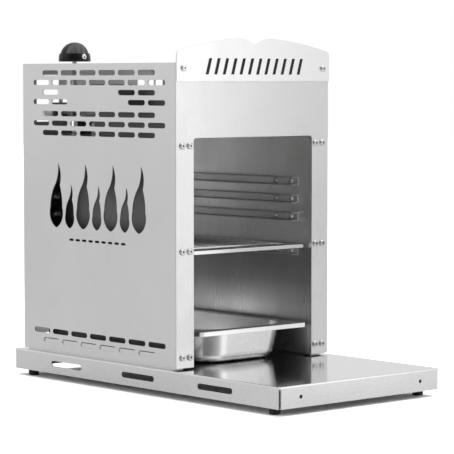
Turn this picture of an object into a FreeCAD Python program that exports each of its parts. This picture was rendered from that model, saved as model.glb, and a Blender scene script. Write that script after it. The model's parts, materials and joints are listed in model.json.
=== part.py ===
"""Upper-heat gas steak grill: a stainless casing on a folded base tray.

Millimetres.  +X is the user's right at the open front, +Y points to the back and +Z is up.
The origin is at the centre of the footprint, on the surface that the rubber feet stand on.
"""
import FreeCAD
import Part
import math
import os
import re
import Sketcher

Vector = FreeCAD.Vector
Rule = Sketcher.Constraint
UP = Vector(0, 0, 1)
RIGHT = Vector(1, 0, 0)
BACK = Vector(0, 1, 0)

SIZES = {
    # base tray and feet
    "base_half": 121.7, "base_end": 234.05, "base_top": 31.6, "base_rim": 7.7, "base_sheet": 1.2,
    "base_lip": 20.0, "base_bend": 1.6, "base_corner": 2.0, "corner_relief": 2.2, "foot_side": 109.0,
    "foot_end": 213.0, "foot_radius": 6.4, "foot_recess": 3.6, "foot_screw_low": 1.3,
    "foot_screw_long": 13.2, "tray_slot_long": 57.0, "tray_slot_half": 3.25, "tray_slot_level": 19.6,
    "tray_slot_first": -130.7, "tray_slot_pitch": 131.65, "lug_radius": 2.1, "lug_half": 91.0,
    "lug_level": 19.2,
    # outer casing
    "casing_half": 115.1, "casing_sheet": 1.0, "casing_front": -58.4, "casing_back": 223.7,
    "casing_bottom": 33.5, "casing_top": 371.9, "casing_flange": 13.6, "casing_bend": 0.9,
    "vent_long": 30.0, "vent_half": 3.0, "vent_pitch": 35.42, "vent_odd_front": -25.4,
    "vent_even_front": -7.7, "vent_low": 45.6, "vent_mid": 291.1, "vent_high": 327.4, "vent_rise": 11.25,
    "flame_low": 180.0, "flame_first": 6.0, "flame_pitch": 51.0,
    "dash_level": 167.0, "dash_first": 34.0, "dash_pitch": 12.0, "dash_long": 8.0, "dash_half": 1.3,
    "back_window_left": -96.0, "back_window_right": -62.5, "back_window_low": 303.0,
    "back_window_high": 359.0, "side_window_left": -57.0, "side_window_right": -40.0,
    "side_window_low": 297.0, "side_window_high": 334.0, "comb_first": 60.0, "comb_wide": 12.0,
    "comb_pitch": 14.5,
    "cover_vent_first": -80.0, "cover_vent_wide": 6.0, "cover_vent_half": 32.0, "cover_vent_pitch": 14.0,
    "cover_vent_front": 5.0, "cover_vent_back": 85.0, "angle_leg": 16.0, "angle_sheet": 1.5,
    "angle_front": -50.0, "angle_back": 215.0, "anchor_inset": 7.5, "anchor_front": -35.0,
    "anchor_middle": 85.0, "anchor_back": 200.0,
    # front frame and crown
    "frame_half": 116.0, "frame_sheet": 1.5, "frame_top": 371.0, "opening_half": 90.3,
    "opening_top": 288.6, "opening_corner": 3.5, "outer_screw": 107.0, "inner_screw": 96.2,
    "screw_low": 45.2, "screw_mid": 163.0, "screw_high": 280.2, "back_screw_low": 70.0,
    "back_screw_mid": 178.0, "back_screw_high": 286.0,
    "crown_sheet": 1.6, "crown_bottom": 351.3, "crown_shoulder": 386.0, "crown_peak": 399.2,
    "crown_notch": 391.3, "crown_peak_side": 29.0, "crown_corner": 5.5, "crown_side_bulge": 46.0,
    "crown_side_drop": 4.9, "crown_notch_bulge": 16.5, "crown_notch_drop": 1.7, "crown_window_half": 82.0,
    "crown_window_margin": 4.0, "backing_margin": 0.5, "backing_sheet": 1.0,
    "crown_screw_side": 106.0, "crown_screw_level": 366.1,
    "crown_slot_low": 359.0, "crown_slot_high": 377.0, "crown_slot_half": 2.2, "crown_slot_lean": 2.6,
    "crown_slot_first": -69.3, "crown_slot_pitch": 12.6,
    # cavity liner and shelf rails
    "liner_sheet": 1.0, "liner_flange": 10.2, "liner_back": 205.0, "liner_low_top": 287.0,
    "liner_high_top": 343.0, "burner_end": 115.0,
    "rail_high": 9.7, "rail_deep": 10.0, "rail_front": -36.8, "rail_back": 203.0, "rail_sheet": 1.0,
    "rail_bolt_first": -26.3, "rail_bolt_second": 0.0, "rail_bolt_third": 190.0, "rail_bolt_head": 3.4,
    "rail_level_one": 234.8, "rail_level_two": 214.2, "rail_level_three": 193.6, "rail_level_four": 153.2,
    # burner
    "burner_half": 84.0, "burner_front": -50.0, "burner_back": 110.0, "burner_low": 290.4,
    "burner_high": 331.0, "burner_sheet": 1.2, "burner_lip": 6.0, "tile_thick": 12.0, "tile_gap": 0.5,
    "mesh_rim": 2.0, "mesh_bar": 1.4, "mesh_pitch": 14.0, "hanger_back": 60.0, "hanger_low": 318.0,
    "hanger_high": 332.0, "tube_radius": 9.5, "tube_bore": 8.5, "tube_front": 60.0, "tube_long": 86.0,
    "mouth_wide": 3.5, "mouth_long": 7.0,
    # gas train
    "gas_side": -70.0, "gas_level": 313.6, "valve_back": 181.0, "valve_front_end": 170.0,
    "valve_rear_end": 204.0, "valve_radius": 7.5, "bonnet_radius": 9.0, "bonnet_low": 306.0,
    "bonnet_high": 336.0, "valve_bore": 5.05, "plunger_radius": 5.0, "plunger_low": 322.0,
    "plunger_high": 328.0, "spring_low": 317.0, "stem_radius": 3.0, "stem_top": 383.9,
    "outlet_nut_radius": 8.0, "outlet_nut_long": 10.0, "inlet_radius": 6.58, "inlet_end": 233.5,
    "inlet_thread": 12.5, "inlet_neck": 5.0, "inlet_nut_radius": 9.6, "inlet_nut_long": 9.0,
    "bracket_front": 192.0, "bracket_back": 207.0, "bracket_half": 14.0, "bracket_top": 326.0,
    "piezo_side": -44.0, "piezo_back": 196.0, "piezo_half": 6.0, "piezo_top": 318.0,
    "electrode_side": -20.0, "probe_side": 10.0, "ignition_back": 125.0, "insulator_low": 286.0,
    "insulator_long": 19.0, "insulator_radius": 3.0, "wire_radius": 0.8, "probe_radius": 1.6,
    "probe_top": 300.0, "tip_level": 283.5, "tip_front": 97.0, "lead_level": 346.0, "capillary_level": 322.0,
    "lead_radius": 1.5, "capillary_radius": 0.9,
    # knob
    "knob_radius": 19.2, "knob_low": 374.6, "knob_high": 397.6, "knob_skirt": 2.4, "knob_edge": 0.8,
    "knob_bore": 3.05, "grip_half": 5.0, "grip_floor": 384.4, "pointer_radius": 2.6,
    "pointer_level": 380.2, "pointer_deep": 2.5,
    # shelf grate and drip pan
    "grate_half": 86.0, "grate_front": -52.6, "grate_back": 200.0, "grate_low": 158.15, "grate_bar": 4.1,
    "grate_corner": 3.0, "grate_edge": 0.6, "rod_radius": 1.75, "rod_first": 1.0, "rod_pitch": 14.6,
    "pan_half": 81.0, "pan_front": -62.0, "pan_back": 203.0, "pan_low": 31.7, "pan_rim": 71.6,
    "pan_sheet": 0.8, "pan_flange": 12.5, "rim_corner": 5.0, "pan_corner": 38.0, "pan_bend": 13.0,
    "pan_lip": 5.0, "pan_taper": 6.0,
    # M4 fasteners
    "screw_radius": 2.0, "hole_radius": 2.15, "head_radius": 3.8, "head_high": 2.4, "key_radius": 1.4,
    "nut_radius": 3.95, "nut_high": 3.0, "frame_screw_long": 8.0, "crown_screw_long": 10.0,
    "rail_bolt_long": 7.0,
}
SCREW_LEVELS = ("screw_low", "screw_mid", "screw_high")
BACK_SCREW_LEVELS = ("back_screw_low", "back_screw_mid", "back_screw_high")
RAIL_LEVELS = ("rail_level_one", "rail_level_two", "rail_level_three", "rail_level_four")
RAIL_BOLTS = ("rail_bolt_first", "rail_bolt_second", "rail_bolt_third")
SIDES = ("-", "")
FEET = [(f"{x}foot_side", f"{y}foot_end") for x in SIDES for y in SIDES]
ANCHOR_SIDE = "(casing_half - casing_sheet - anchor_inset)"
ANCHORS = [(f"{x}{ANCHOR_SIDE}", y) for x in SIDES 
           for y in ("anchor_front", "anchor_middle", "anchor_back")]
FRAME_FRONT = "casing_front - frame_sheet"
ARC_BULGE = 0.292893  # from a quarter arc's middle to its corner's sides, as a share of its radius
SLACK = 1  # how far a cutting tool runs past the faces that it opens

doc = FreeCAD.newDocument("SteakGrill")
sheet = doc.addObject("Spreadsheet::Sheet", "Sizes")
for row, (word, size) in enumerate(SIZES.items(), start=1):
    sheet.set(f"A{row}", word)
    sheet.set(f"B{row}", str(size))
    sheet.setAlias(f"B{row}", word)
doc.recompute()


# ---------------------------------------------------------------- drawing

def full(text):
    """Words of the sheet in an expression -> the form that every object understands."""
    return re.sub(r"[a-z]+(_[a-z]+)+", lambda found: "Sizes." + found.group(0), str(text))


def number(text):
    """Present value of an expression."""
    return float(sheet.evalExpression(full(text)))


def bind(thing, prop, text):
    thing.setExpression(prop, full(text))


def point(x, y):
    return Vector(number(x), number(y), 0)


def sketch(owner, plane, offset):
    """Empty sketch on one of the body's own planes, moved along the plane's normal."""
    made = owner.newObject("Sketcher::SketchObject", "Sketch")
    planes = {feature.Role: feature for feature in owner.Origin.OriginFeatures}
    made.AttachmentSupport = [(planes[plane + "_Plane"], "")]
    made.MapMode = "FlatFace"
    bind(made, "AttachmentOffset.Base.z", offset)
    return made


def locate(drawing, element, end, place):
    """Bind one point of an element to a place (two expressions) from the sketch's origin."""
    for kind, text in zip(("DistanceX", "DistanceY"), place):
        index = drawing.addConstraint(Rule(kind, -1, 1, element, end, number(text)))
        bind(drawing, f"Constraints[{index}]", text)


def outline(drawing, stretches, hold_radii=True):
    """Closed line.  A stretch is a corner, or a corner and a point that an arc from it goes through."""
    first = drawing.GeometryCount
    count = len(stretches)
    corners = [stretch[:2] for stretch in stretches]
    begins = []
    for i, stretch in enumerate(stretches):
        start, end = point(*corners[i]), point(*corners[(i + 1) % count])
        if len(stretch) == 2:
            drawing.addGeometry(Part.LineSegment(start, end), False)
            begins.append(1)
            continue
        middle = point(*stretch[2:])
        clockwise = (middle - start).cross(end - middle).z < 0
        ends = (end, start) if clockwise else (start, end)
        element = drawing.addGeometry(Part.Arc(ends[0], middle, ends[1]), False)
        if hold_radii:
            drawing.addConstraint(Rule("Radius", element, drawing.Geometry[element].Radius))
        begins.append(2 if clockwise else 1)
    for i in range(count):
        after = (i + 1) % count
        drawing.addConstraint(Rule("Coincident", first + i, 3 - begins[i], first + after, begins[after]))
    for i, corner in enumerate(corners):
        locate(drawing, first + i, begins[i], corner)


def rectangle(drawing, left, right, low, high):
    outline(drawing, [(left, low), (right, low), (right, high), (left, high)])


def round_rectangle(drawing, left, right, low, high, radius):
    """Rectangle with quarter-circle corners."""
    bulge = f"({radius}) * {ARC_BULGE}"
    outline(drawing, [
        (f"{left} + {radius}", low), (f"{right} - {radius}", low, f"{right} - {bulge}", f"{low} + {bulge}"),
        (right, f"{low} + {radius}"), (right, f"{high} - {radius}", f"{right} - {bulge}", f"{high} - {bulge}"),
        (f"{right} - {radius}", high), (f"{left} + {radius}", high, f"{left} + {bulge}", f"{high} - {bulge}"),
        (left, f"{high} - {radius}"), (left, f"{low} + {radius}", f"{left} + {bulge}", f"{low} + {bulge}"),
    ])


def circle(drawing, x, y, radius):
    element = drawing.addGeometry(Part.Circle(point(x, y), UP, number(radius)), False)
    locate(drawing, element, 3, (x, y))
    index = drawing.addConstraint(Rule("Radius", element, number(radius)))
    bind(drawing, f"Constraints[{index}]", radius)


def round_slot(drawing, x, y, length, half):
    """Slot with round ends, along the sketch's first axis."""
    reach = f"({length} / 2 - {half})"
    first = drawing.GeometryCount
    outline(drawing, [
        (f"{x} - {reach}", f"{y} - {half}"),
        (f"{x} + {reach}", f"{y} - {half}", f"{x} + {length} / 2", y),
        (f"{x} + {reach}", f"{y} + {half}"),
        (f"{x} - {reach}", f"{y} + {half}", f"{x} - {length} / 2", y),
    ], hold_radii=False)
    for element, centre in ((first + 1, f"{x} + {reach}"), (first + 3, f"{x} - {reach}")):
        index = drawing.addConstraint(Rule("DistanceX", -1, 1, element, 3, number(centre)))
        bind(drawing, f"Constraints[{index}]", centre)


# ---------------------------------------------------------------- features

def body(label):
    made = doc.addObject("PartDesign::Body", label)
    made.Label = label
    return made


def grow(owner, plane, low, high, draw):
    """Pad what draw(sketch) draws between two places on the axis across the plane."""
    drawing = sketch(owner, plane, f"-({high})" if plane == "XZ" else low)
    draw(drawing)
    made = owner.newObject("PartDesign::Pad", "Pad")
    made.Profile = drawing
    bind(made, "Length", f"({high}) - ({low})")
    owner.Tip = made
    return made


def cut(owner, plane, low, high, draw):
    """Pocket what draw(sketch) draws between two places on the axis across the plane."""
    drawing = sketch(owner, plane, f"-({low})" if plane == "XZ" else high)
    draw(drawing)
    made = owner.newObject("PartDesign::Pocket", "Pocket")
    made.Profile = drawing
    bind(made, "Length", f"({high}) - ({low})")
    owner.Tip = made
    return made


def repeat(owner, feature, axis, pitch, count):
    """Row of copies of a pad or pocket, along one axis of its sketch."""
    made = owner.newObject("PartDesign::LinearPattern", "Row")
    made.Originals = [feature]
    made.Direction = (feature.Profile[0], [axis])
    made.Mode = "Spacing"
    bind(made, "Offset", pitch)
    made.Occurrences = count
    owner.Tip = made
    return made


def revolve(owner, corners):
    """Turn a closed line in the XZ plane round the Z axis."""
    drawing = sketch(owner, "XZ", "0")
    outline(drawing, corners)
    made = owner.newObject("PartDesign::Revolution", "Revolution")
    made.Profile = drawing
    made.ReferenceAxis = (drawing, ["V_Axis"])
    made.Angle = 360
    owner.Tip = made
    return made


def soften(owner, radius, choose):
    """Fillet the edges that choose(edge) accepts."""
    doc.recompute()
    base = owner.Tip
    names = [f"Edge{i}" for i, edge in enumerate(base.Shape.Edges, start=1) if choose(edge)]
    made = owner.newObject("PartDesign::Fillet", "Fillet")
    made.Base = (base, names)
    bind(made, "Radius", radius)
    owner.Tip = made
    return made


def runs_along(edge, axis):
    """True for a straight edge along a unit vector."""
    if not isinstance(edge.Curve, Part.Line):
        return False
    return abs(edge.Curve.Direction.dot(axis)) > 0.9999


def put(thing, place, direction=UP):
    """Bound Placement: the piece's own Z axis turns to direction."""
    thing.Placement = FreeCAD.Placement(Vector(), FreeCAD.Rotation(UP, direction))
    for letter, text in zip("xyz", place):
        bind(thing, f"Placement.Base.{letter}", text)
    return thing


def mirrored(label, source):
    """The same piece on the other side of the casing."""
    made = doc.addObject("Part::Mirroring", label)
    made.Label = label
    made.Source = source
    made.Normal = RIGHT
    return made


def cylinder(name, radius, length, place, direction=UP):
    made = doc.addObject("Part::Cylinder", name)
    bind(made, "Radius", radius)
    bind(made, "Height", length)
    return put(made, place, direction)


def hexagon(name, radius, length, place, direction=UP):
    made = doc.addObject("Part::Prism", name)
    made.Polygon = 6
    bind(made, "Circumradius", radius)
    bind(made, "Height", length)
    return put(made, place, direction)


def block(name, left, right, front, back, low, high):
    made = doc.addObject("Part::Box", name)
    bind(made, "Length", f"({right}) - ({left})")
    bind(made, "Width", f"({back}) - ({front})")
    bind(made, "Height", f"({high}) - ({low})")
    return put(made, (left, front, low))


def joined(label, pieces):
    made = doc.addObject("Part::MultiFuse", label)
    made.Label = label
    made.Shapes = pieces
    return made


def less(label, base, tool):
    made = doc.addObject("Part::Cut", label)
    made.Label = label
    made.Base = base
    made.Tool = tool
    return made


def together(label, pieces):
    """Separate solids in one node."""
    made = doc.addObject("Part::Compound", label)
    made.Label = label
    made.Links = pieces
    return made


def copies(master, places, direction=UP):
    """One linked copy of a master piece at each place."""
    links = []
    for place in places:
        link = doc.addObject("App::Link", "Copy")
        link.LinkedObject = master
        links.append(put(link, place, direction))
    return links


def tube(label, radius, corners, bend):
    """Round wire along straight runs that tangent arcs join, each of the given bend radius."""
    places = [Vector(*(number(text) for text in corner)) for corner in corners]
    edges = []
    start = places[0]
    for i in range(1, len(places) - 1):
        before = (places[i] - places[i - 1]).normalize()
        after = (places[i + 1] - places[i]).normalize()
        half_turn = before.getAngle(after) / 2
        back_off = bend * math.tan(half_turn)
        entry, leave = places[i] - before * back_off, places[i] + after * back_off
        inward = (after - before).normalize()
        middle = places[i] + inward * (bend / math.cos(half_turn) - bend)
        edges.append(Part.LineSegment(start, entry).toShape())
        edges.append(Part.Arc(entry, middle, leave).toShape())
        start = leave
    edges.append(Part.LineSegment(start, places[-1]).toShape())
    path = Part.Wire(edges)
    ring = Part.Circle(places[0], (places[1] - places[0]).normalize(), number(radius)).toShape()
    made = doc.addObject("Part::Feature", label)
    made.Label = label
    made.Shape = path.makePipeShell([Part.Wire([ring])], True, False)
    print(f"{label}: {path.Length:.1f} mm long, bends of {bend} mm")
    return made


# ---------------------------------------------------------------- fasteners

def make_masters():
    """Pieces that several groups repeat; they aren't nodes themselves."""
    outer = hexagon("nut_hexagon", "nut_radius", "nut_high", ("0", "0", "0"))
    bore = cylinder("nut_bore", "screw_radius", "nut_high + 2", ("0", "0", "-1"))
    return {
        "nut": less("nut_master", outer, bore),
        "frame_screw": screw("frame_screw_master", "frame_screw_long", "head_radius"),
        "crown_screw": screw("crown_screw_master", "crown_screw_long", "head_radius"),
        "rail_bolt": screw("rail_bolt_master", "rail_bolt_long", "rail_bolt_head"),
    }


def screw(name, reach, head):
    """Button-head screw: the head stands on the origin and the shank goes down from it."""
    made = body(name)
    revolve(made, [("0", f"-({reach})"), ("screw_radius", f"-({reach})"), ("screw_radius", "0"),
                   (head, "0"), (head, "head_high * 0.4", f"{head} * 0.92", "head_high * 0.76"),
                   (f"{head} * 0.7", "head_high"), ("0", "head_high")])
    key = [(f"key_radius * cos({60 * i})", f"key_radius * sin({60 * i})") for i in range(6)]
    cut(made, "XY", "head_high * 0.4", "head_high", lambda drawing: outline(drawing, key))
    return made


# ---------------------------------------------------------------- base

def make_base():
    tray = body("base_tray")
    grow(tray, "XY", "base_rim", "base_top",
         lambda drawing: rectangle(drawing, "-base_half", "base_half", "-base_end", "base_end"))
    soften(tray, "base_corner", lambda edge: runs_along(edge, UP))
    soften(tray, "base_bend", lambda edge: edge.BoundBox.ZMin > number("base_top") - 0.01)
    cut(tray, "XY", "base_rim", "base_top - base_sheet", draw_tray_hollow)
    for side in SIDES:
        ends = (f"{side}(base_half - base_sheet)", f"{side}(base_half - base_lip)")
        grow(tray, "XY", "base_rim", "base_rim + base_sheet",
             lambda drawing, ends=ends: rectangle(drawing, *ends, "-base_end + 3", "base_end - 3"))
    cut(tray, "XY", "base_rim", "base_top - base_bend * 2", draw_corner_relief)
    slot = cut(tray, "YZ", "-base_half - 1", "base_half + 1", draw_tray_slot)
    repeat(tray, slot, "H_Axis", "tray_slot_pitch", 3)
    cut(tray, "XZ", "-base_end - 1", "-base_end + base_sheet + 1", draw_lug_holes)
    cut(tray, "XY", "base_rim - 1", "base_rim + base_sheet + 1",
        lambda drawing: draw_circles(drawing, FEET, "hole_radius"))
    cut(tray, "XY", "base_top - base_sheet - 1", "base_top + 1",
        lambda drawing: draw_circles(drawing, ANCHORS, "hole_radius"))
    return [tray]


def draw_circles(drawing, centres, radius):
    for x, y in centres:
        circle(drawing, x, y, radius)


def draw_tray_hollow(drawing):
    rectangle(drawing, "-base_half + base_sheet", "base_half - base_sheet",
              "-base_end + base_sheet", "base_end - base_sheet")


def draw_corner_relief(drawing):
    for left in ("-base_half - 1", "base_half - corner_relief"):
        for low in ("-base_end - 1", "base_end - corner_relief"):
            rectangle(drawing, left, f"{left} + corner_relief + 1", low, f"{low} + corner_relief + 1")


def draw_tray_slot(drawing):
    round_slot(drawing, "tray_slot_first", "tray_slot_level", "tray_slot_long", "tray_slot_half")


def draw_lug_holes(drawing):
    draw_circles(drawing, [(f"{side}lug_half", "lug_level") for side in SIDES], "lug_radius")


def make_feet(masters):
    foot = body("foot_master")
    recess = "head_radius + 0.3"
    revolve(foot, [("hole_radius", "foot_recess"), (recess, "foot_recess"), (recess, "0"),
                   ("foot_radius - 0.9", "0"), ("foot_radius - 0.3", "0.7"), ("foot_radius", "base_rim"),
                   ("hole_radius", "base_rim")])
    low = ("0", "0", "foot_screw_low")
    shank = cylinder("foot_shank", "screw_radius", "foot_screw_long", low)
    head = cylinder("foot_head", "head_radius", "foot_recess - foot_screw_low", low)
    foot_screw = joined("foot_screw_master", [shank, head])
    floor = [(x, y, "0") for x, y in FEET]
    lip = [(x, y, "base_rim + base_sheet") for x, y in FEET]
    return [
        together("rubber_feet", copies(foot, floor)),
        together("foot_screws", copies(foot_screw, floor)),
        together("foot_nuts", copies(masters["nut"], lip)),
    ]


# ---------------------------------------------------------------- casing

def make_side_panels():
    """Outer wall: one sheet with flanges folded in at the front, the rear and the top."""
    wall = body("left_side_panel")
    skin, inner, flange = "-casing_half", "-casing_half + casing_sheet", "-casing_half + casing_flange"
    grow(wall, "XY", "casing_bottom", "casing_top", lambda drawing: outline(drawing, [
        (skin, "casing_front"), (flange, "casing_front"), (flange, "casing_front + casing_sheet"),
        (inner, "casing_front + casing_sheet"), (inner, "casing_back - casing_sheet"),
        (flange, "casing_back - casing_sheet"), (flange, "casing_back"), (skin, "casing_back")]))
    soften(wall, "casing_bend", lambda edge: runs_along(edge, UP) and edge.BoundBox.XMax < number(skin) + 0.01)
    grow(wall, "XY", "casing_top - casing_sheet", "casing_top", lambda drawing: rectangle(
        drawing, skin, f"{flange} - 1", "casing_front + 1.5", "casing_back - 1.5"))
    cut_vents(wall)
    cut_flames(wall)
    cut(wall, "XZ", f"casing_front - {SLACK}", f"casing_front + casing_sheet + {SLACK}", draw_wall_front_holes)
    cut(wall, "XZ", "casing_back - casing_sheet - 1", "casing_back + 1", lambda drawing: draw_circles(
        drawing, [("-outer_screw", level) for level in BACK_SCREW_LEVELS], "hole_radius"))
    return [wall, mirrored("right_side_panel", wall)]


def draw_wall_front_holes(drawing):
    centres = [("-outer_screw", level) for level in SCREW_LEVELS]
    centres.append(("-crown_screw_side", "crown_screw_level"))
    draw_circles(drawing, centres, "hole_radius")


def cut_vents(wall):
    """Staggered rows of slots; in the third and fourth rows only the ends are cut."""
    through = (f"-casing_half - {SLACK}", f"-casing_half + casing_sheet + {SLACK}")

    def row_of(places, count):
        def draw(drawing):
            for place, level in places:
                round_slot(drawing, place, level, "vent_long", "vent_half")
        slots = cut(wall, "YZ", *through, draw)
        if count > 1:
            repeat(wall, slots, "H_Axis", "vent_pitch", count)

    even = ("vent_low", "vent_mid", "vent_mid + 2 * vent_rise", "vent_high + 3 * vent_rise")
    odd = ("vent_low + vent_rise", "vent_mid + vent_rise", "vent_high + 2 * vent_rise")
    row_of([("vent_even_front", level) for level in even], 6)
    row_of([("vent_odd_front", level) for level in odd], 7)
    row_of([("vent_odd_front", "vent_high"), ("vent_odd_front + 5 * vent_pitch", "vent_high"),
            ("vent_even_front", "vent_high + vent_rise")], 2)
    row_of([("vent_even_front + 5 * vent_pitch", "vent_high + vent_rise")], 1)


def cut_flames(wall):
    """Decorative cut-outs: a row of flame tongues over a row of short dashes."""
    through = (f"-casing_half - {SLACK}", f"-casing_half + casing_sheet + {SLACK}")
    tall = cut(wall, "YZ", *through, lambda drawing: draw_flame(drawing, "flame_first", 1.0))
    repeat(wall, tall, "H_Axis", "flame_pitch", 4)
    short = cut(wall, "YZ", *through,
                lambda drawing: draw_flame(drawing, "flame_first + flame_pitch / 2", 0.68))
    repeat(wall, short, "H_Axis", "flame_pitch", 3)
    dash = cut(wall, "YZ", *through, lambda drawing: round_slot(
        drawing, "dash_first", "dash_level", "dash_long", "dash_half"))
    repeat(wall, dash, "H_Axis", "dash_pitch", 9)


def draw_flame(drawing, foot, scale):
    """Tongue of flame with a leaning tip, 76 mm high at full scale."""
    def at(across, up):
        return f"{foot} + {across * scale:.2f}", f"flame_low + {up * scale:.2f}"
    outline(drawing, [
        at(0, 0) + at(9.5, 7),
        at(11.5, 24) + at(9, 38),
        at(1, 52) + at(-3.2, 63),
        at(-4, 76) + at(-8.5, 64),
        at(-7, 50) + at(-10.5, 38),
        at(-11.5, 24) + at(-9.5, 7),
    ])


def make_front():
    """Front frame, open at the bottom, the crown plate over its top and the strip behind its slots."""
    frame = body("front_frame")
    grow(frame, "XZ", FRAME_FRONT, "casing_front", lambda drawing: outline(drawing, [
        ("-frame_half", "casing_bottom"), ("-opening_half", "casing_bottom"),
        ("-opening_half", "opening_top"), ("opening_half", "opening_top"),
        ("opening_half", "casing_bottom"), ("frame_half", "casing_bottom"),
        ("frame_half", "frame_top"), ("-frame_half", "frame_top")]))
    soften(frame, "opening_corner", lambda edge: runs_along(edge, BACK)
           and abs(edge.BoundBox.ZMin - number("opening_top")) < 0.01)
    cut(frame, "XZ", f"{FRAME_FRONT} - {SLACK}", f"casing_front + {SLACK}", draw_frame_holes)
    cut(frame, "XZ", f"{FRAME_FRONT} - {SLACK}", f"casing_front + {SLACK}", lambda drawing: rectangle(
        drawing, "-crown_window_half", "crown_window_half",
        "crown_slot_low - crown_window_margin", "crown_slot_high + crown_window_margin"))
    crown = body("header_plate")
    crown_depth = (f"{FRAME_FRONT} - crown_sheet - {SLACK}", f"{FRAME_FRONT} + {SLACK}")
    grow(crown, "XZ", f"{FRAME_FRONT} - crown_sheet", FRAME_FRONT, draw_crown)
    cut(crown, "XZ", *crown_depth, lambda drawing: draw_circles(
        drawing, [(f"{side}crown_screw_side", "crown_screw_level") for side in SIDES], "hole_radius"))
    slot = cut(crown, "XZ", *crown_depth, draw_crown_slot)
    repeat(crown, slot, "H_Axis", "crown_slot_pitch", 12)
    backing = body("crown_backing")
    margin = "crown_window_margin - backing_margin"
    grow(backing, "XZ", FRAME_FRONT, f"{FRAME_FRONT} + backing_sheet", lambda drawing: rectangle(
        drawing, "-crown_window_half + backing_margin", "crown_window_half - backing_margin",
        f"crown_slot_low - ({margin})", f"crown_slot_high + {margin}"))
    return [frame, crown, backing]


def draw_frame_holes(drawing):
    across = [f"{side}{place}" for side in SIDES for place in ("outer_screw", "inner_screw")]
    centres = [(x, level) for x in across for level in SCREW_LEVELS]
    centres += [(f"{side}crown_screw_side", "crown_screw_level") for side in SIDES]
    draw_circles(drawing, centres, "hole_radius")


def draw_crown(drawing):
    """Plate whose top rises from rounded shoulders to two soft peaks with a notch between them."""
    low, bulge = "crown_shoulder - crown_corner", f"crown_corner * {ARC_BULGE}"
    flank, hump = "crown_peak - crown_side_drop", "crown_peak - crown_notch_drop"
    outline(drawing, [
        ("-frame_half", "crown_bottom"),
        ("frame_half", "crown_bottom"),
        ("frame_half", low, f"frame_half - {bulge}", f"crown_shoulder - {bulge}"),
        ("frame_half - crown_corner", "crown_shoulder", "frame_half - crown_side_bulge", flank),
        ("crown_peak_side", "crown_peak", "crown_peak_side - crown_notch_bulge", hump),
        ("0", "crown_notch", "-crown_peak_side + crown_notch_bulge", hump),
        ("-crown_peak_side", "crown_peak", "-frame_half + crown_side_bulge", flank),
        ("-frame_half + crown_corner", "crown_shoulder",
         f"-frame_half + {bulge}", f"crown_shoulder - {bulge}"),
        ("-frame_half", low),
    ])


def draw_crown_slot(drawing):
    left, right = "crown_slot_first - crown_slot_half", "crown_slot_first + crown_slot_half"
    outline(drawing, [
        (f"{left} - crown_slot_lean", "crown_slot_low"), (f"{right} - crown_slot_lean", "crown_slot_low"),
        (f"{right} + crown_slot_lean", "crown_slot_high"), (f"{left} + crown_slot_lean", "crown_slot_high")])


def make_back_and_top():
    back = body("back_panel")
    inside = "casing_back - casing_sheet"
    half = "casing_half - casing_sheet - 0.3"
    grow(back, "XZ", f"{inside} - casing_sheet", inside, lambda drawing: rectangle(
        drawing, f"-({half})", half, "casing_bottom + 1", "casing_top - casing_sheet - 1.5"))
    depth = (f"{inside} - casing_sheet - 1", f"{inside} + 1")
    cut(back, "XZ", *depth, lambda drawing: rectangle(
        drawing, "back_window_left", "back_window_right", "back_window_low", "back_window_high"))
    cut(back, "XZ", *depth, lambda drawing: rectangle(
        drawing, "side_window_left", "side_window_right", "side_window_low", "side_window_high"))
    comb = cut(back, "XZ", *depth, lambda drawing: round_rectangle(
        drawing, "comb_first", "(comb_first + comb_wide)", "back_window_low", "back_window_high",
        "(comb_wide / 2 - 0.1)"))
    repeat(back, comb, "H_Axis", "comb_pitch", 3)
    for first, level, count in (("-2 * vent_pitch", "vent_low + vent_rise", 5),
                                ("-2.5 * vent_pitch", "vent_low", 6)):
        slot = cut(back, "XZ", *depth, lambda drawing, first=first, level=level: round_slot(
            drawing, first, level, "vent_long", "vent_half"))
        repeat(back, slot, "H_Axis", "vent_pitch", count)
    cut(back, "XZ", *depth, lambda drawing: draw_circles(drawing, [
        (f"{side}outer_screw", level) for side in SIDES for level in BACK_SCREW_LEVELS], "hole_radius"))
    cover = body("top_cover")
    under = "casing_top - casing_sheet"
    grow(cover, "XY", f"{under} - casing_sheet", under, lambda drawing: rectangle(
        drawing, f"-({half})", half, "casing_front + 7", "casing_back - 2.5"))
    for middle in ("cover_vent_front", "cover_vent_back"):
        vent = cut(cover, "XY", f"{under} - 2", f"{under} + 1", lambda drawing, middle=middle: round_rectangle(
            drawing, "cover_vent_first", "(cover_vent_first + cover_vent_wide)",
            f"({middle} - cover_vent_half)", f"({middle} + cover_vent_half)", "(cover_vent_wide / 2 - 0.1)"))
        repeat(cover, vent, "H_Axis", "cover_vent_pitch", 12)
    cut(cover, "XY", f"{under} - 2", f"{under} + 1",
        lambda drawing: circle(drawing, "gas_side", "valve_back", "stem_radius + 2"))
    return [back, cover]


def make_mounting_angles():
    angle = body("right_mounting_angle")
    corner, top = "casing_half - casing_sheet", "base_top + angle_leg"
    grow(angle, "XZ", "angle_front", "angle_back", lambda drawing: outline(drawing, [
        (f"{corner} - angle_leg", "base_top"), (corner, "base_top"), (corner, top),
        (f"{corner} - angle_sheet", top), (f"{corner} - angle_sheet", "base_top + angle_sheet"),
        (f"{corner} - angle_leg", "base_top + angle_sheet")]))
    cut(angle, "XY", "base_top - 1", "base_top + 3", lambda drawing: draw_circles(
        drawing, ANCHORS[3:], "hole_radius"))
    return [angle, mirrored("left_mounting_angle", angle)]


# ---------------------------------------------------------------- cavity

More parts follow.
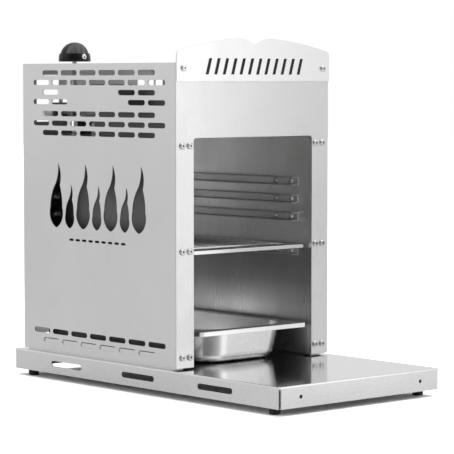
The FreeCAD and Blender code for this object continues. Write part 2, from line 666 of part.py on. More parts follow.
def make_liner():
    wall = body("right_liner_wall")
    face, skin, flange = "opening_half", "opening_half + liner_sheet", "opening_half + liner_flange"
    grow(wall, "XY", "casing_bottom", "liner_high_top", lambda drawing: outline(drawing, [
        (face, "casing_front"), (flange, "casing_front"), (flange, "casing_front + liner_sheet"),
        (skin, "casing_front + liner_sheet"), (skin, "liner_back"), (face, "liner_back")]))
    cut(wall, "YZ", f"{face} - 1", f"{skin} + 1", lambda drawing: rectangle(
        drawing, "burner_end", "liner_back + 1", "liner_low_top", "liner_high_top + 1"))
    cut(wall, "YZ", f"{face} - 1", f"{skin} + 1", lambda drawing: draw_circles(
        drawing, [(bolt, level) for bolt in RAIL_BOLTS for level in RAIL_LEVELS], "hole_radius"))
    cut(wall, "XZ", "casing_front - 1", "casing_front + liner_sheet + 1", lambda drawing: draw_circles(
        drawing, [("inner_screw", level) for level in SCREW_LEVELS], "hole_radius"))
    back = body("liner_back_wall")
    grow(back, "XZ", "liner_back", "liner_back + liner_sheet", lambda drawing: rectangle(
        drawing, f"-({skin})", skin, "casing_bottom", "liner_low_top"))
    return [wall, mirrored("left_liner_wall", wall), back, make_liner_top(skin)]


def make_liner_top(skin):
    """One sheet with two folds: over the burner, down behind it and back over the rear of the cavity."""
    top = body("liner_top_sheet")
    grow(top, "YZ", f"-({skin})", skin, lambda drawing: outline(drawing, [
        ("casing_front", "liner_high_top"), ("burner_end", "liner_high_top"),
        ("burner_end", "liner_low_top"), ("liner_back + liner_sheet", "liner_low_top"),
        ("liner_back + liner_sheet", "liner_low_top + liner_sheet"),
        ("burner_end + liner_sheet", "liner_low_top + liner_sheet"),
        ("burner_end + liner_sheet", "liner_high_top + liner_sheet"),
        ("casing_front", "liner_high_top + liner_sheet")]))
    cut(top, "XZ", "burner_end - 1", "burner_end + 2",
        lambda drawing: circle(drawing, "gas_side", "gas_level", "tube_radius + 0.3"))
    cut(top, "XY", "liner_low_top - 1", "liner_low_top + 2", draw_ignition_holes)
    return top


def draw_ignition_holes(drawing):
    circle(drawing, "electrode_side", "ignition_back", "3.1")
    circle(drawing, "probe_side", "ignition_back", "1.8")


def make_rails():
    """Four shelf rails a side: channels that are open towards the cavity."""
    rails = []
    for place, level in enumerate(RAIL_LEVELS, start=1):
        rail = body(f"right_rail_{place}")
        web, edge = "opening_half", "opening_half - rail_deep"
        low, high = f"{level} - rail_high / 2", f"{level} + rail_high / 2"
        grow(rail, "XZ", "rail_front", "rail_back", lambda drawing: outline(drawing, [
            (edge, low), (web, low), (web, high), (edge, high), (edge, f"{high} - rail_sheet"),
            (f"{web} - rail_sheet", f"{high} - rail_sheet"), (f"{web} - rail_sheet", f"{low} + rail_sheet"),
            (edge, f"{low} + rail_sheet")]))
        cut(rail, "YZ", f"{web} - rail_sheet - 1", f"{web} + 1", lambda drawing: draw_circles(
            drawing, [(bolt, level) for bolt in RAIL_BOLTS], "hole_radius"))
        rails += [rail, mirrored(f"left_rail_{place}", rail)]
    return rails


def make_rail_fasteners(masters):
    bolts, nuts = [], []
    for side, inward in (("-", RIGHT), ("", -RIGHT)):
        heads = [(f"{side}(opening_half - rail_sheet)", bolt, level)
                 for bolt in RAIL_BOLTS for level in RAIL_LEVELS]
        ends = [(f"{side}(opening_half + liner_sheet)", bolt, level)
                for bolt in RAIL_BOLTS for level in RAIL_LEVELS]
        bolts += copies(masters["rail_bolt"], heads, inward)
        nuts += copies(masters["nut"], ends, -inward)
    return [together("rail_bolts", bolts), together("rail_nuts", nuts)]


# ---------------------------------------------------------------- burner

def make_burner():
    housing = body("burner_housing")
    grow(housing, "XY", "burner_low", "burner_high", lambda drawing: rectangle(
        drawing, "-burner_half", "burner_half", "burner_front", "burner_back"))
    cut(housing, "XY", "burner_low", "burner_high - burner_sheet",
        lambda drawing: draw_burner_inside(drawing, "burner_sheet"))
    grow(housing, "XY", "burner_low", "burner_low + burner_sheet", draw_burner_lip)
    cut(housing, "XZ", "burner_back - burner_sheet - 1", "burner_back + 1",
        lambda drawing: circle(drawing, "gas_side", "gas_level", "tube_radius + 0.1"))
    return [housing, make_tiles(), make_mesh(), *make_hangers(), make_mixing_tube()]


def draw_burner_inside(drawing, inset):
    rectangle(drawing, f"-burner_half + {inset}", f"burner_half - {inset}",
              f"burner_front + {inset}", f"burner_back - {inset}")


def draw_burner_lip(drawing):
    draw_burner_inside(drawing, "burner_sheet")
    draw_burner_inside(drawing, "(burner_sheet + burner_lip)")


def make_tiles():
    """Four perforated ceramic plaques side by side on the housing's lip."""
    edge = "(burner_half - burner_sheet - tile_gap)"
    middle = "(burner_front + burner_back) / 2"
    low = "burner_low + burner_sheet"
    across = ((f"-{edge}", "-tile_gap"), ("tile_gap", edge))
    along = (("burner_front + burner_sheet + tile_gap", f"{middle} - tile_gap"),
             (f"{middle} + tile_gap", "burner_back - burner_sheet - tile_gap"))
    tiles = [block("Tile", *sides, *ends, low, f"{low} + tile_thick") for sides in across for ends in along]
    return together("ceramic_tiles", tiles)


def make_mesh():
    """Flat guard grid under the plaques, inside the lip."""
    mesh = body("burner_mesh")
    top = ("burner_low + 0.2", "burner_low + burner_sheet")
    inset = "(burner_sheet + burner_lip)"

    def draw_rim(drawing):
        draw_burner_inside(drawing, inset)
        draw_burner_inside(drawing, "(burner_sheet + burner_lip + mesh_rim)")

    grow(mesh, "XY", *top, draw_rim)
    left, right = f"-burner_half + {inset}", f"burner_half - {inset}"
    front, back = f"burner_front + {inset}", f"burner_back - {inset}"
    bar = grow(mesh, "XY", *top, lambda drawing: rectangle(
        drawing, left, right, f"{front} + 9", f"{front} + 9 + mesh_bar"))
    repeat(mesh, bar, "V_Axis", "mesh_pitch", 10)
    cross = grow(mesh, "XY", *top, lambda drawing: rectangle(
        drawing, f"{left} + 13", f"{left} + 13 + mesh_bar", front, back))
    repeat(mesh, cross, "H_Axis", "mesh_pitch", 10)
    return mesh


def make_hangers():
    """Folded strips that carry the burner between the liner walls."""
    strip = body("right_burner_hanger")
    grow(strip, "XZ", "0", "hanger_back", lambda drawing: outline(drawing, [
        ("burner_half", "hanger_low"), ("opening_half", "hanger_low"), ("opening_half", "hanger_high"),
        ("opening_half - angle_sheet", "hanger_high"),
        ("opening_half - angle_sheet", "hanger_low + angle_sheet"),
        ("burner_half", "hanger_low + angle_sheet")]))
    return [strip, mirrored("left_burner_hanger", strip)]


def make_mixing_tube():
    """Venturi: a plain tube with a bell mouth at its rear end."""
    venturi = body("mixing_tube")
    mouth, wall = "tube_long + mouth_long", "tube_radius - tube_bore"
    revolve(venturi, [("tube_bore", "0"), ("tube_radius", "0"), ("tube_radius", "tube_long"),
                      ("tube_radius + mouth_wide", mouth), ("tube_bore + mouth_wide", f"{mouth} + {wall}"),
                      ("tube_bore", f"tube_long + ({wall}) / 2")])
    return put(venturi, ("gas_side", "tube_front", "gas_level"), BACK)


# ---------------------------------------------------------------- gas train

def make_valve():
    axis = ("gas_side", "valve_back")
    run = cylinder("valve_run", "valve_radius", "valve_rear_end - valve_front_end",
                   ("gas_side", "valve_front_end", "gas_level"), BACK)
    tower = cylinder("valve_tower", "bonnet_radius", "bonnet_high - bonnet_low", (*axis, "bonnet_low"))
    boss = cylinder("valve_boss", "4", "14", (*axis, "gas_level"), RIGHT)
    bore = cylinder("valve_cavity", "valve_bore", "bonnet_high - spring_low + 1", (*axis, "spring_low"))
    valve = less("gas_valve_body", joined("valve_solid", [run, tower, boss]), bore)
    cap = cylinder("bonnet_disc", "bonnet_radius", "3", (*axis, "bonnet_high"))
    eye = cylinder("bonnet_eye", "stem_radius + 0.06", "5", (*axis, "bonnet_high - 1"))
    bonnet = less("valve_bonnet", cap, eye)
    plunger = cylinder("valve_plunger", "plunger_radius", "plunger_high - plunger_low",
                       (*axis, "plunger_low"))
    stem = cylinder("valve_stem", "stem_radius", "stem_top - plunger_high", (*axis, "plunger_high"))
    return [valve, bonnet, plunger, stem, make_spring(axis)]


def make_spring(axis):
    """Return spring under the plunger."""
    wire, mean, turns = 0.5, 3.9, 3
    rise = number("plunger_low - spring_low") - 2 * wire - 0.1
    helix = Part.makeHelix(rise / turns, rise, mean)
    ring = Part.Circle(Vector(mean, 0, 0), BACK, wire).toShape()
    spring = doc.addObject("Part::Feature", "valve_spring")
    spring.Label = "valve_spring"
    spring.Shape = Part.Wire(helix.Edges).makePipeShell([Part.Wire([ring])], True, True)
    return put(spring, (*axis, f"spring_low + {wire + 0.05}"))


def make_gas_train():
    joint = ("gas_side", "valve_front_end - outlet_nut_long", "gas_level")
    nut = hexagon("outlet_nut", "outlet_nut_radius", "outlet_nut_long", joint, BACK)
    injector = body("gas_injector")
    revolve(injector, [("0.5", "0"), ("3", "0"), ("3", "9"), ("1.4", "12"), ("0.5", "12")])
    put(injector, joint, -BACK)
    inlet = body("inlet_fitting")
    length = "(inlet_end - valve_rear_end)"
    thread = f"{length} - inlet_thread"
    revolve(inlet, [("stem_radius", "0"), ("inlet_neck", "0"), ("inlet_neck", thread),
                    ("inlet_radius", thread), ("inlet_radius", length), ("stem_radius", length)])
    put(inlet, ("gas_side", "valve_rear_end", "gas_level"), BACK)
    front = "inlet_end - inlet_thread - inlet_nut_long"
    outer = hexagon("inlet_hexagon", "inlet_nut_radius", "inlet_nut_long",
                    ("gas_side", front, "gas_level"), BACK)
    bore = cylinder("inlet_hole", "inlet_neck", f"inlet_nut_long + {2 * SLACK}",
                    ("gas_side", f"{front} - {SLACK}", "gas_level"), BACK)
    return [nut, injector, inlet, less("inlet_nut", outer, bore), make_valve_bracket()]


def make_valve_bracket():
    bracket = body("valve_bracket")
    floor = "liner_low_top + liner_sheet"
    inner = "bracket_back - angle_sheet"
    sides = ("gas_side - bracket_half", "gas_side + bracket_half")
    grow(bracket, "YZ", *sides, lambda drawing: outline(drawing, [
        ("bracket_front", floor), ("bracket_back", floor), ("bracket_back", "bracket_top"),
        (inner, "bracket_top"), (inner, f"{floor} + angle_sheet"),
        ("bracket_front", f"{floor} + angle_sheet")]))
    cut(bracket, "XZ", f"{inner} - {SLACK}", f"bracket_back + {SLACK}",
        lambda drawing: circle(drawing, "gas_side", "gas_level", "inlet_neck + 0.1"))
    return bracket


def make_ignition():
    """Piezo spark unit, its electrode and lead, and the flame-failure thermocouple."""
    floor = "liner_low_top + liner_sheet"
    case = block("piezo_case", "piezo_side - piezo_half", "piezo_side + piezo_half",
                 "piezo_back - piezo_half", "piezo_back + piezo_half", floor, "piezo_top")
    terminal = cylinder("piezo_terminal", "2.5", "4", ("piezo_side", "piezo_back", "piezo_top"))
    spark, sensor = ("electrode_side", "ignition_back"), ("probe_side", "ignition_back")
    insulator = cylinder("electrode_insulator", "insulator_radius", "insulator_long",
                         (*spark, "insulator_low"))
    wire = tube("electrode_wire", "wire_radius", [
        (*spark, "insulator_low"), (*spark, "tip_level"), ("electrode_side", "tip_front", "tip_level")], 1.7)
    probe = tube("thermocouple_probe", "probe_radius", [
        (*sensor, "probe_top"), (*sensor, "tip_level"), ("probe_side", "tip_front", "tip_level")], 5)
    lead = tube("ignition_lead", "lead_radius", [
        (*spark, "insulator_low + insulator_long"), (*spark, "lead_level"),
        ("piezo_side", "piezo_back", "lead_level"), ("piezo_side", "piezo_back", "piezo_top + 4")], 10)
    capillary = tube("thermocouple_lead", "capillary_radius", [
        (*sensor, "probe_top"), (*sensor, "capillary_level"), ("probe_side", "valve_back", "gas_level"),
        ("gas_side + bracket_half", "valve_back", "gas_level")], 9)
    return [joined("piezo_igniter", [case, terminal]), insulator, wire, probe, lead, capillary]


def make_knob():
    """Domed knob, cut away on two sides to leave a grip blade."""
    knob = body("knob")
    high, low, radius = "knob_high - knob_low", "knob_skirt", "knob_radius"
    revolve(knob, [("0", "0"), (f"{radius} - knob_edge", "0"), (radius, "knob_edge"),
                   (radius, low, f"{radius} * 0.7071", f"{low} + ({high} - {low}) * 0.7071"),
                   ("0", high)])
    for side in SIDES:
        cut(knob, "XY", "grip_floor - knob_low", f"{high} + 1", lambda drawing, side=side: rectangle(
            drawing, f"-{radius} - 1", f"{radius} + 1", f"{side}grip_half", f"{side}({radius} + 1)"))
    cut(knob, "XY", "0", "stem_top - knob_low + 0.1", lambda drawing: circle(drawing, "0", "0", "knob_bore"))
    cut(knob, "XZ", f"-{radius} - 1", f"-{radius} + pointer_deep",
        lambda drawing: circle(drawing, "0", "pointer_level - knob_low", "pointer_radius"))
    put(knob, ("gas_side", "valve_back", "knob_low"))
    pointer = cylinder("knob_pointer", "pointer_radius", "pointer_deep",
                       ("gas_side", "valve_back - knob_radius + pointer_deep", "pointer_level"), -BACK)
    return [knob, pointer]


# ---------------------------------------------------------------- shelf and pan

def make_grate():
    """Welded grate: a square-bar frame with a handle gap at the front, and round rods."""
    frame = body("grate_frame")
    grow(frame, "XY", "grate_low", "grate_low + grate_bar", lambda drawing: rectangle(
        drawing, "-grate_half", "grate_half", "grate_front", "grate_back"))
    soften(frame, "grate_corner", lambda edge: runs_along(edge, UP))
    cut(frame, "XY", "grate_low - 1", "grate_low + grate_bar + 1", lambda drawing: rectangle(
        drawing, "-grate_half + grate_bar", "grate_half - grate_bar",
        "grate_front + grate_bar", "grate_back - grate_bar"))
    soften(frame, "grate_edge", lambda edge: abs(edge.BoundBox.ZMin - number("grate_low + grate_bar")) < 0.01)
    rods = [cylinder("Rod", "rod_radius", "2 * (grate_half - grate_bar)",
                     ("-grate_half + grate_bar", f"rod_first + {i} * rod_pitch", "grate_low + grate_bar / 2"),
                     RIGHT) for i in range(14)]
    return [frame, together("grate_rods", rods)]


def make_pan():
    """Deep-drawn gastronorm pan: tapered bowl, flat rim and turned-down lip."""
    outer = make_bowl("bowl_outside", "pan_flange", "pan_low", "pan_bend")
    inner = make_bowl("bowl_inside", "(pan_flange + pan_sheet)", "pan_low + pan_sheet", "pan_bend - pan_sheet")
    rim = body("pan_rim_ring")
    edge = ("0", "rim_corner")
    grow(rim, "XY", "pan_rim - pan_sheet", "pan_rim", lambda drawing: draw_pan_outlines(
        drawing, edge, ("(pan_flange + pan_sheet)", "(pan_corner - pan_sheet)")))
    grow(rim, "XY", "pan_rim - pan_lip", "pan_rim", lambda drawing: draw_pan_outlines(
        drawing, edge, ("pan_sheet", "(rim_corner - pan_sheet)")))
    return [joined("drip_pan", [less("pan_bowl", outer, inner), rim])]


def make_bowl(label, inset, floor, bend):
    """Solid of one face of the bowl, from the rim's level down to its floor."""
    bowl = body(label)
    top, bottom = sketch(bowl, "XY", "pan_rim"), sketch(bowl, "XY", floor)
    corner = f"(pan_corner + pan_flange - {inset})"
    draw_pan_outlines(top, (inset, corner))
    draw_pan_outlines(bottom, (f"({inset} + pan_taper)", f"({corner} - pan_taper / 2)"))
    loft = bowl.newObject("PartDesign::AdditiveLoft", "Bowl")
    loft.Profile = top
    loft.Sections = [bottom]
    bowl.Tip = loft
    soften(bowl, bend, lambda edge: edge.BoundBox.ZMax < number(floor) + 0.01)
    return bowl


def draw_pan_outlines(drawing, *outlines):
    """Round rectangles inside the pan's largest size, each with an inset and a corner radius."""
    for inset, corner in outlines:
        round_rectangle(drawing, f"-pan_half + {inset}", f"pan_half - {inset}",
                        f"pan_front + {inset}", f"pan_back - {inset}", corner)


# ---------------------------------------------------------------- screws of the casing

def make_casing_fasteners(masters):
    across = [f"{side}{place}" for side in SIDES for place in ("outer_screw", "inner_screw")]
    faces = [(x, FRAME_FRONT, level) for x in across for level in SCREW_LEVELS]
    behind = [(x, "casing_front + casing_sheet", level) for x in across for level in SCREW_LEVELS]
    corners = [(f"{side}crown_screw_side", "crown_screw_level") for side in SIDES]
    crown = [(x, f"{FRAME_FRONT} - crown_sheet", level) for x, level in corners]
    behind += [(x, "casing_front + casing_sheet", level) for x, level in corners]
    rear = [(f"{side}outer_screw", "casing_back", level) for side in SIDES for level in BACK_SCREW_LEVELS]
    under = [(x, y, "base_top - base_sheet") for x, y in ANCHORS]
    above = [(x, y, "base_top + angle_sheet") for x, y in ANCHORS]
    return [
        together("frame_screws", copies(masters["frame_screw"], faces, -BACK)),
        together("header_screws", copies(masters["crown_screw"], crown, -BACK)),
        together("frame_nuts", copies(masters["nut"], behind, BACK)),
        together("back_screws", copies(masters["frame_screw"], rear, BACK)),
        together("anchor_screws", copies(masters["frame_screw"], under, -UP)),
        together("anchor_nuts", copies(masters["nut"], above)),
    ]


# ---------------------------------------------------------------- the whole grill

def make_nodes():
    masters = make_masters()
    return [
        *make_base(), *make_feet(masters), *make_side_panels(), *make_front(), *make_back_and_top(),
        *make_mounting_angles(), *make_liner(), *make_rails(), *make_rail_fasteners(masters),
        *make_burner(), *make_valve(), *make_gas_train(), *make_ignition(), *make_knob(),
        *make_grate(), *make_pan(), *make_casing_fasteners(masters),
    ]


def check(nodes):
    """Stop before anything is written if an object failed or a shape isn't sound."""
    for thing in doc.Objects:
        if "Invalid" in thing.State or "Error" in thing.State:
            raise RuntimeError(f"{thing.Name} ({thing.TypeId}) failed: {thing.State}")
    for node in nodes:
        if node.Shape.isNull() or not node.Shape.isValid() or not node.Shape.Solids:
            raise RuntimeError(f"{node.Label} has no sound shape")


nodes = make_nodes()
doc.recompute()
check(nodes)
os.makedirs("parts", exist_ok=True)
for node in nodes:
    node.Shape.exportStep(f"parts/{node.Label}.step")
print(f"{len(nodes)} nodes written")
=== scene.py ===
"""Looks of the upper-heat gas steak grill: finishes, knob, valve coil, light, floor and camera.

Metres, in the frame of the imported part: +X is the user's right at the open front, +Y the back, +Z up.
"""
import json
import math

import bmesh
import bpy
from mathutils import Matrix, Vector


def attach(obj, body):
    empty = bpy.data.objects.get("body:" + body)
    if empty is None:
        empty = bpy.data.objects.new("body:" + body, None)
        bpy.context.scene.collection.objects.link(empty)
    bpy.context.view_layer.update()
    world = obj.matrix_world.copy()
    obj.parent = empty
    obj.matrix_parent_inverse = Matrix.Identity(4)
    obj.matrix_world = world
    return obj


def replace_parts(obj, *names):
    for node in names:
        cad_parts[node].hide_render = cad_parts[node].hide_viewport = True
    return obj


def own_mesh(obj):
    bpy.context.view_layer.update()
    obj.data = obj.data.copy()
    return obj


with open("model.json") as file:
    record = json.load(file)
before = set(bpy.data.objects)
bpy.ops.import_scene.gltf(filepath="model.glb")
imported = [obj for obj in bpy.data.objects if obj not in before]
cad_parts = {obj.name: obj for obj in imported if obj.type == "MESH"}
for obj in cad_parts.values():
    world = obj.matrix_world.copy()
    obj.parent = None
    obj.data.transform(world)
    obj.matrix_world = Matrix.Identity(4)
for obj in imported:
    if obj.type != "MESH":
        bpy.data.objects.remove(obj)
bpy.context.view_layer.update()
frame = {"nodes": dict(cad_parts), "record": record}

NODES = frame["nodes"]
MM = 0.001

# Finishes
EDGE_RADIUS = 0.3 * MM          # rounding of every edge
EDGE_TURN = 0.88                # cosine of the turn at which a rounded edge counts as full
BEVEL_SAMPLES = 4
NOISE_ROUGHNESS = 0.55
GRAIN_DEEP, MARKS_DEEP, HOLES_DEEP = 0.4 * MM, 0.3 * MM, 0.6 * MM
GRAIN_STRETCH = 0.02            # scale of the grain's noise along the grain
GLOSS_LOW, GLOSS_HIGH = 0.88, 1.12
COAT_ROUGHNESS = 0.03
GRAIN_SCALE, GLOSS_SCALE, MARKS_SCALE, TARNISH_SCALE, MOTTLE_SCALE, SCORCH_SCALE = 1800, 26, 900, 60, 45, 35
HOLE_SCALE, HOLE_START, HOLE_END = 380.0, 0.24, 0.34
# painted shade in the plaque's holes
HOLE_SHADE_COLOUR = (0.05, 0.045, 0.04)
BASE_TOP = 31.4 * MM            # above it, the base tray is darker, as painted shade, and glossier
LINER_OUTSIDE = 90.8 * MM       # beyond it, the liner's outer side is darkened as painted shade, and is duller

# Light, floor and camera
TOWARDS_BACK_LEFT = (-0.66, 0.75, 0.0)
TOWARDS_VIEW = (-0.66, -0.75, 0.065)
FLOOR_HALF = 8.0
FLOOR_REFLECTED = (0.60, 0.66)  # tones that reflections and bounced light meet
FLOOR_SEEN = (1.60, 1.64)       # tones that the camera itself sees, above those of a real floor
VIEW_PLACE, VIEW_TARGET = (-1.7052, -1.9391, 0.3526), (0.0445, 0.0368, 0.1795)
VIEW_LENS, VIEW_SENSOR, VIEW_END = 177.5, 36.0, 100.0


# ---------------------------------------------------------------- materials

def shader(name):
    """New material -> (material, node tree, principled node)."""
    made = bpy.data.materials.new(name)
    made.use_nodes = True
    return made, made.node_tree, made.node_tree.nodes["Principled BSDF"]


def add(tree, kind, **settings):
    """New node with those properties."""
    made = tree.nodes.new(kind)
    for key, value in settings.items():
        setattr(made, key, value)
    return made


def noise(tree, scale, stretch=(1, 1, 1), detail=3.0):
    """Noise in the object's own space, stretched along its axes -> its factor socket."""
    place = add(tree, "ShaderNodeTexCoord")
    mapping = add(tree, "ShaderNodeMapping")
    mapping.inputs["Scale"].default_value = stretch
    made = add(tree, "ShaderNodeTexNoise")
    made.inputs["Scale"].default_value = scale
    made.inputs["Detail"].default_value = detail
    made.inputs["Roughness"].default_value = NOISE_ROUGHNESS
    tree.links.new(place.outputs["Object"], mapping.inputs["Vector"])
    tree.links.new(mapping.outputs["Vector"], made.inputs["Vector"])
    return made.outputs["Fac"]


def spread(tree, factor, low, high, start=0.3, end=0.7):
    """Map a factor's usual range to low..high."""
    made = add(tree, "ShaderNodeMapRange")
    made.inputs["From Min"].default_value = start
    made.inputs["From Max"].default_value = end
    made.inputs["To Min"].default_value = low
    made.inputs["To Max"].default_value = high
    tree.links.new(factor, made.inputs["Value"])
    return made.outputs["Result"]


def blend_colours(tree, factor, dark, light):
    """Mix of two colours, each of which may be a socket."""
    made = add(tree, "ShaderNodeMix", data_type="RGBA")
    for name, colour in (("A", dark), ("B", light)):
        if isinstance(colour, tuple):
            made.inputs[name].default_value = (*colour, 1)
        else:
            tree.links.new(colour, made.inputs[name])
    tree.links.new(factor, made.inputs["Factor"])
    return made.outputs["Result"]


def times(tree, first, second):
    """Product of two sockets."""
    made = add(tree, "ShaderNodeMath", operation="MULTIPLY")
    tree.links.new(first, made.inputs[0])
    tree.links.new(second, made.inputs[1])
    return made.outputs["Value"]


def rounded_normal(tree, radius):
    """Normal that is rounded at the piece's edges."""
    rounded = add(tree, "ShaderNodeBevel", samples=BEVEL_SAMPLES)
    rounded.inputs["Radius"].default_value = radius
    return rounded.outputs["Normal"]


def edge_factor(tree, radius):
    """0 on flat faces, rising to 1 at the piece's edges."""
    face = add(tree, "ShaderNodeNewGeometry")
    turn = add(tree, "ShaderNodeVectorMath", operation="DOT_PRODUCT")
    tree.links.new(rounded_normal(tree, radius), turn.inputs[0])
    tree.links.new(face.outputs["Normal"], turn.inputs[1])
    return spread(tree, turn.outputs["Value"], 0.0, 1.0, 1.0, EDGE_TURN)


def bump(tree, principled, height, strength, distance):
    """Relief from a height socket, over normals that round the piece's edges."""
    made = add(tree, "ShaderNodeBump")
    made.inputs["Strength"].default_value = strength
    made.inputs["Distance"].default_value = distance
    tree.links.new(height, made.inputs["Height"])
    tree.links.new(rounded_normal(tree, EDGE_RADIUS), made.inputs["Normal"])
    tree.links.new(made.outputs["Normal"], principled.inputs["Normal"])


def place_along(tree, axis):
    """Place along an axis of the shared frame, in metres."""
    place = add(tree, "ShaderNodeNewGeometry")
    split = add(tree, "ShaderNodeSeparateXYZ")
    tree.links.new(place.outputs["Position"], split.inputs["Vector"])
    return split.outputs[axis]


def place_step(tree, axis, level, outward=False):
    """1 where the place along an axis is past a level, or where its distance from the middle is."""
    value = place_along(tree, axis)
    if outward:
        distance = add(tree, "ShaderNodeMath", operation="ABSOLUTE")
        tree.links.new(value, distance.inputs[0])
        value = distance.outputs["Value"]
    made = add(tree, "ShaderNodeMath", operation="GREATER_THAN")
    made.inputs[1].default_value = level
    tree.links.new(value, made.inputs[0])
    return made.outputs["Value"]


def between(tree, factor, low, high):
    """Socket or number low where the factor is 0, high where it is 1."""
    made = add(tree, "ShaderNodeMix", data_type="FLOAT")
    for name, value in (("A", low), ("B", high)):
        if isinstance(value, (int, float)):
            made.inputs[name].default_value = value
        else:
            tree.links.new(value, made.inputs[name])
    tree.links.new(factor, made.inputs["Factor"])
    return made.outputs["Result"]


def grey(value):
    """Neutral colour."""
    return value, value, value


def brushed(name, tone, rough, grain, spots=0.04, swing=0.05, relief=0.012, smears=(9, (1, 1, 1)),
            region=None, other=(1.0, 1.0), edges=(0.45 * MM, 0.55), shade_band=None):
    """Stainless sheet: fine grain along one axis (or none), faint smears, and small changes of gloss.

    spots is how much darker the smears are, and swing how much the gloss changes.
    Inside a region (axis, level, outward), the tone and the roughness are multiplied by the other pair; the
    darker tone there is painted shade.
    edges is the width of the band of painted shade along edges, and what multiplies the tone there.
    shade_band is (start, end, top, tone), painted shade under the grate: the tone falls from start to end along
    Z, and is whole again above top.
    """
    made, tree, principled = shader(name)
    along = tuple(GRAIN_STRETCH if axis == grain else 1 for axis in "xyz")
    lines = noise(tree, GRAIN_SCALE, along, detail=2.0)
    level = spread(tree, noise(tree, *smears, detail=5.0), tone * (1 - spots), tone)
    fine = spread(tree, lines, rough - swing, rough + swing)
    coarse = spread(tree, noise(tree, GLOSS_SCALE, detail=4.0), GLOSS_LOW, GLOSS_HIGH)
    gloss = times(tree, fine, coarse)
    if region:
        inside = place_step(tree, *region)
        level = times(tree, level, between(tree, inside, 1.0, other[0]))
        gloss = times(tree, gloss, between(tree, inside, 1.0, other[1]))
    # painted shade: a darker band along Z
    if shade_band:
        start, end, top, shade_band_tone = shade_band
        falling = spread(tree, place_along(tree, "Z"), 1.0, shade_band_tone, start, end)
        level = times(tree, level, between(tree, place_step(tree, "Z", top), falling, 1.0))
    # painted shade: a darker band along every edge
    width, edge_shade_tone = edges
    level = times(tree, level, between(tree, edge_factor(tree, width), 1.0, edge_shade_tone))
    tree.links.new(level, principled.inputs["Base Color"])
    tree.links.new(gloss, principled.inputs["Roughness"])
    principled.inputs["Metallic"].default_value = 1.0
    bump(tree, principled, lines, relief, GRAIN_DEEP)
    return made


def machined(name, dark, light, rough, rim=(0.4 * MM, 1.0)):
    """Turned metal with fine marks, slightly tarnished patches, and painted shade along its edges.

    rim is the width of the band of painted shade along edges, and the share of the dark colour that it has.
    """
    made, tree, principled = shader(name)
    marks = noise(tree, MARKS_SCALE, (1, 0.1, 1), detail=2.0)
    patches = noise(tree, TARNISH_SCALE, detail=4.0)
    tarnish = blend_colours(tree, spread(tree, patches, 0, 1), dark, light)
    width, share = rim
    # painted shade: the band along edges takes this darker colour
    edge_shade_colour = tuple(channel * share for channel in dark)
    colour = blend_colours(tree, edge_factor(tree, width), tarnish, edge_shade_colour)
    tree.links.new(colour, principled.inputs["Base Color"])
    tree.links.new(spread(tree, marks, rough * 0.7, rough * 1.4), principled.inputs["Roughness"])
    principled.inputs["Metallic"].default_value = 1.0
    bump(tree, principled, marks, 0.05, MARKS_DEEP)
    return made


def moulded(name, dark, light, rough, grain_scale, grain_depth, coat=0.0, bend=1.5):
    """Plastic, rubber or glaze with fine grain and faint mottling; bend is its refractive index."""
    made, tree, principled = shader(name)
    mottle = noise(tree, MOTTLE_SCALE, detail=4.0)
    grain = noise(tree, grain_scale, detail=2.0)
    colour = blend_colours(tree, spread(tree, mottle, 0, 1), dark, light)
    tree.links.new(colour, principled.inputs["Base Color"])
    tree.links.new(spread(tree, grain, rough * 0.85, min(1.0, rough * 1.15)), principled.inputs["Roughness"])
    principled.inputs["IOR"].default_value = bend
    principled.inputs["Coat Weight"].default_value = coat
    principled.inputs["Coat Roughness"].default_value = COAT_ROUGHNESS
    bump(tree, principled, grain, grain_depth, MARKS_DEEP)
    return made


def perforated(name, dark, light):
    """Burner plaque: matt ceramic with rows of fine round holes, drawn dark as painted shade, and faint
    scorching.
    """
    made, tree, principled = shader(name)
    place = add(tree, "ShaderNodeTexCoord")
    holes = add(tree, "ShaderNodeTexVoronoi")
    holes.inputs["Scale"].default_value = HOLE_SCALE
    holes.inputs["Randomness"].default_value = 0.0
    tree.links.new(place.outputs["Object"], holes.inputs["Vector"])
    solid = spread(tree, holes.outputs["Distance"], 0, 1, HOLE_START, HOLE_END)
    scorch = blend_colours(tree, spread(tree, noise(tree, SCORCH_SCALE, detail=4.0), 0, 1), dark, light)
    tree.links.new(blend_colours(tree, solid, HOLE_SHADE_COLOUR, scorch), principled.inputs["Base Color"])
    principled.inputs["Roughness"].default_value = 0.9
    bump(tree, principled, solid, 0.6, HOLES_DEEP)
    return made


